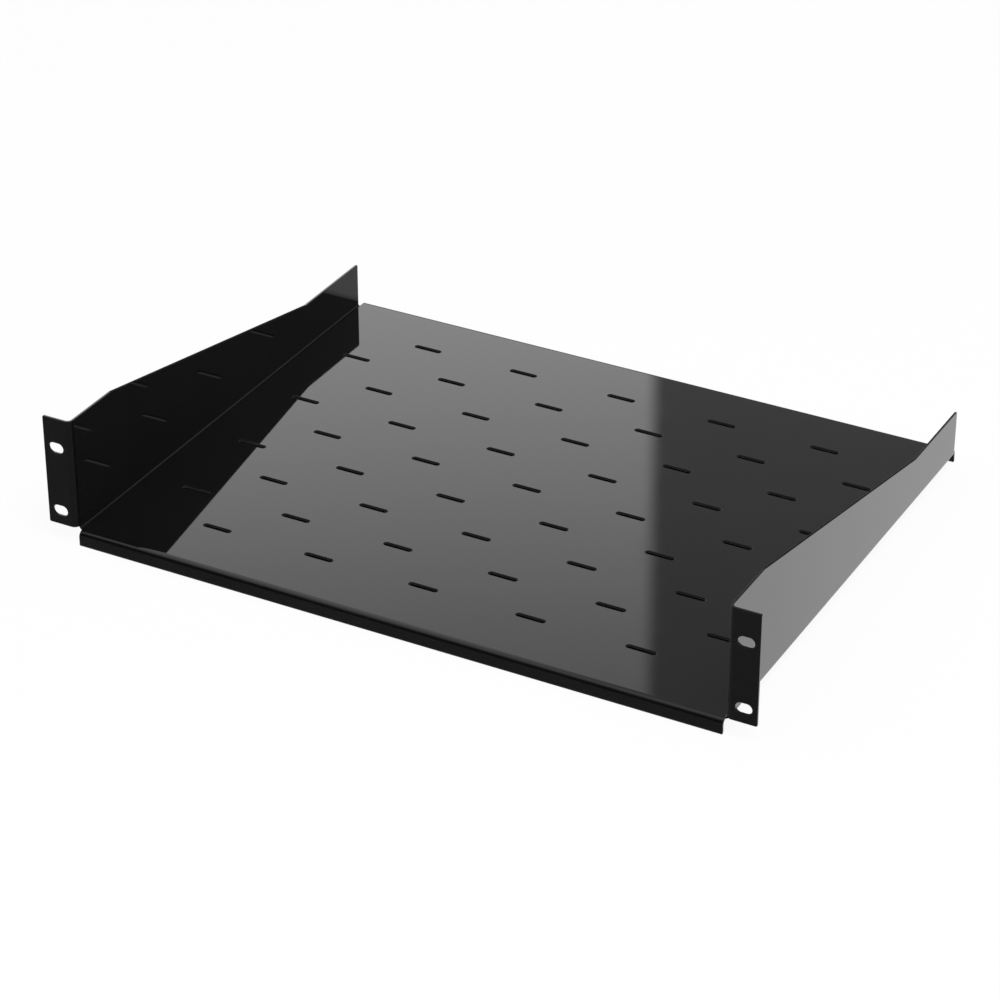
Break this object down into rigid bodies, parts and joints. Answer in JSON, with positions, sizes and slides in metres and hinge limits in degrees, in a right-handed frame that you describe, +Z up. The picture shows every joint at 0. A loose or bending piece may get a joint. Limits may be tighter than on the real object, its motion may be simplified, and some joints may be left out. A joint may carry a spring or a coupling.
{
  "type": "rack shelf",
  "caption": "Cantilever rack shelf folded from sheet steel, with a vented tray, tapering side walls, slotted mounting ears, and a front lip and rear flange folded down.",
  "frame": {"origin": "centre of the four ear slots, on the rear face of the ears, the face that bears on the rack rails", "axes": "+X to the right seen from the front of the rack, +Y into the rack, +Z up"},
  "size_m": [0.4826, 0.355, 0.087],
  "materials": {
    "powder_coat": "gloss black powder coat"
  },
  "bodies": {
    "root": {"shelf": "powder_coat"}
  },
  "joints": []
}
